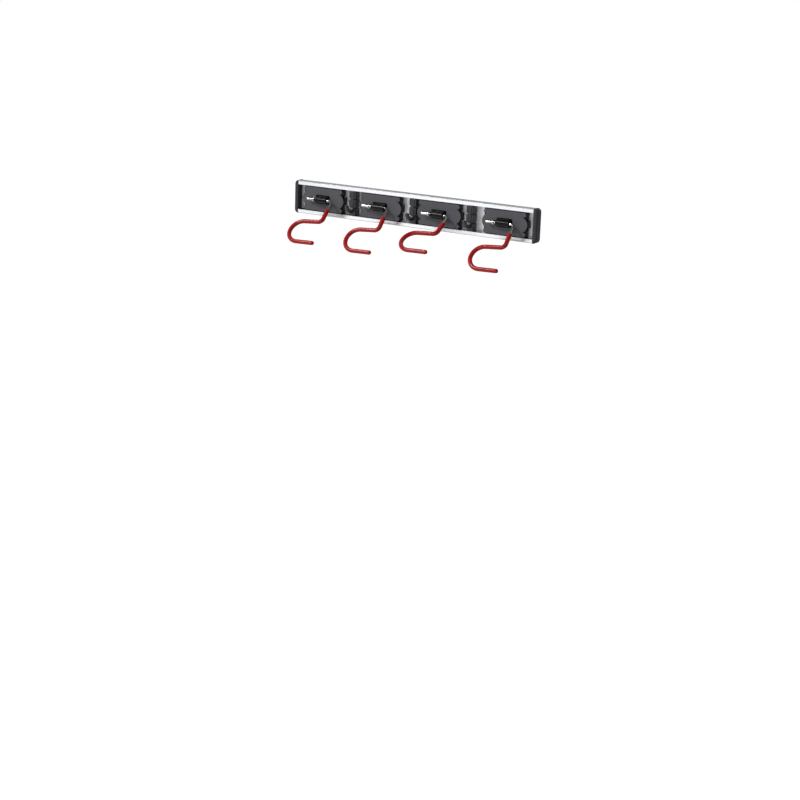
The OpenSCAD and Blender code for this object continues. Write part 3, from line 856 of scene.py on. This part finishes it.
# %% [markdown]
# ## The J hooks
# A J hook is one moulding: a narrow base that slides in the rail, a strip that tapers down its front, and an
# arm that bends out and up to a ball. The base is a slide, as a carrier is. The strip starts as a small plate
# with round corners, which is pushed down and narrowed, spun round the bend and pushed up. The ball is joined
# to its end.

# %% The base of a J hook
BASE_X, BASE_SLOT_X, BASE_FLANGE_X, BASE_RIM = 7, 4, 4.5, 0.5
j_hook = make_slide("j_hook_moulding", BASE_X, BASE_X, BASE_SLOT_X, BASE_FLANGE_X, PAD_FRONT)
soften(BASE_RIM, segments=3, test=sharp_at(PAD_FRONT))
print("base", len(j_hook.data.polygons), "faces")

# %% The arm of a J hook
STRIP_W, STRIP_TOP, STRIP_RIM = 9.6, 22.3, 0.6
ARM_W, ARM_T, ARM_CORNER, ARM_Y = 7, 5, 2, -15
J_R, J_DROP, J_STEPS, TIP_RISE, BALL_R = 9.6, -5.5, 30, 0.5, 4.1
clear_selection()
bpy.ops.mesh.primitive_plane_add(size=1, enter_editmode=True, location=ORIGIN)
arm = bpy.context.object
bpy.ops.transform.resize(value=(ARM_W * MM, ARM_T * MM, 1))
bpy.ops.mesh.bevel(offset=ARM_CORNER * MM, segments=6, affect="VERTICES")
bpy.ops.transform.resize(value=(STRIP_W / ARM_W, 1, 1))
bpy.ops.transform.translate(value=(0, ARM_Y * MM, STRIP_TOP * MM))
push(0, 0, J_DROP - STRIP_TOP)
bpy.ops.transform.resize(value=(ARM_W / STRIP_W, 1, 1), center_override=(0, ARM_Y * MM, J_DROP * MM))
bpy.ops.mesh.spin(steps=J_STEPS, angle=math.pi, center=(0, (ARM_Y - J_R) * MM, J_DROP * MM), axis=X)
push(0, 0, TIP_RISE)
turn_outwards(arm)
soften(STRIP_RIM, segments=3, test=lambda edge: lies_at(edge, "z", STRIP_TOP))
combine(j_hook, arm, "UNION")
clear_selection()
bpy.ops.mesh.primitive_uv_sphere_add(
    segments=40, ring_count=24, radius=BALL_R * MM, enter_editmode=True, location=ORIGIN)
ball = bpy.context.object
bpy.ops.transform.translate(value=(0, (ARM_Y - 2 * J_R) * MM, (J_DROP + TIP_RISE) * MM))
combine(j_hook, ball, "UNION")
finish_piece(j_hook, blasted_black)

# %% The three J hooks in place
J_HOOKS = {1: -123.45, 2: 3.3, 3: 119.05}  # places along the rail in mm
for n, x in J_HOOKS.items():
    set_in_place(
        j_hook, f"j_hook_moulding_{n}", (x, 0, 0), f"j_slider_{n}", f"j_hook_{n}")
print("three J hooks in place")

# %% [markdown]
# ## Clearing up
# The patterns have done their work. They are removed, so that only the copies in their places show.

# %% Clear the patterns away
for pattern in (rail, cap, pad, carrier, rod, coat, clip, j_hook):
    bpy.data.objects.remove(pattern)

# %% [markdown]
# ## Studio
# The photograph is a cut-out on white. The stage is a plain pale floor well below the rack, with no wall. The
# floor and the world are white to the camera and in reflections, so the metal has something bright to mirror,
# and the world is dimmer as a light. In front of the rack and above it a real studio is a dim room, and round
# wire shows it as a dark line down its middle, so there the world that the metal mirrors falls to a grey. A
# soft lamp from the upper left gives the shape. A wide, weak panel stands where the flat fronts mirror it to
# the camera, and a lamp in front opens the shadows.

# %% Floor
WHITE = (1, 1, 1, 1)
FLOOR_SIZE, FLOOR_Z, FLOOR_GLOW = 30, -1.4, 0.85
clear_selection()
bpy.ops.mesh.primitive_plane_add(size=FLOOR_SIZE, location=(0, 0, FLOOR_Z))
floor = bpy.context.object
floor.name = "floor"
paper, tree, place = new_finish(
    "pale_studio_paper", Roughness=0.9, Base_Color=hex_colour("#d0d0d0"), Emission_Color=WHITE)
rays = add_node(tree, "ShaderNodeLightPath", {})
seen = rays.outputs["Is Camera Ray"]
for ray in (rays.outputs["Is Glossy Ray"], rays.outputs["Is Transmission Ray"]):
    seen = add_node(tree, "ShaderNodeMath", {0: seen, 1: ray}, operation="MAXIMUM").outputs[0]
glow = add_node(tree, "ShaderNodeMath", {0: seen, 1: FLOOR_GLOW}, operation="MULTIPLY")
tree.links.new(glow.outputs[0], tree.nodes[SHADER].inputs["Emission Strength"])
floor.data.materials.append(paper)
print("floor at", FLOOR_Z, "m")

# %% World
AMBIENT, DIM, TOWARDS_DIM = 0.25, 0.12, (0, -0.83, 0.56)
world = bpy.data.worlds.new("studio")
bpy.context.scene.world = world
world.use_nodes = True
tree = world.node_tree
sky = tree.nodes["Background"]
sky.inputs["Color"].default_value = WHITE
rays = add_node(tree, "ShaderNodeLightPath", {})
way = add_node(tree, "ShaderNodeTexCoord", {}).outputs["Generated"]
frontal = add_node(tree, "ShaderNodeVectorMath", {0: way, 1: TOWARDS_DIM}, operation="DOT_PRODUCT")
room = add_node(tree, "ShaderNodeMapRange", {
    "Value": frontal.outputs["Value"], "From Min": 0.15, "From Max": 0.6, "To Min": 1.0, "To Max": DIM})
glossy = add_node(tree, "ShaderNodeMath", {
    0: rays.outputs["Is Glossy Ray"], 1: room.outputs[0]}, operation="MULTIPLY")
seen = rays.outputs["Is Camera Ray"]
for ray in (glossy.outputs[0], rays.outputs["Is Transmission Ray"]):
    seen = add_node(tree, "ShaderNodeMath", {0: seen, 1: ray}, operation="MAXIMUM").outputs[0]
strength = add_node(tree, "ShaderNodeMath", {0: seen, 1: AMBIENT}, operation="MAXIMUM")
tree.links.new(strength.outputs[0], sky.inputs["Strength"])
print("world lights with", AMBIENT)


# %% Lamps
def soft_lamp(name, place, width, height, power):
    """A rectangular lamp, in metres and watts, that faces the rail's middle."""
    bpy.ops.object.light_add(type="AREA", location=place)
    lamp = bpy.context.object
    lamp.name = name
    lamp.data.shape = "RECTANGLE"
    lamp.data.size, lamp.data.size_y = width, height
    lamp.data.energy = power
    lamp.rotation_euler = (-Vector(place)).to_track_quat("-Z", "Y").to_euler()
    print(name, "lamp with", power, "W")


soft_lamp("key", (-1.75, -2.0, 2.4), width=0.85, height=0.75, power=102)
soft_lamp("panel", (-1.45, -2.6, -0.3), width=1.1, height=1.4, power=4.5)
soft_lamp("fill", (0.4, -3.2, 0.6), width=1.6, height=1.6, power=26)
bpy.context.scene.view_settings.view_transform = "Standard"
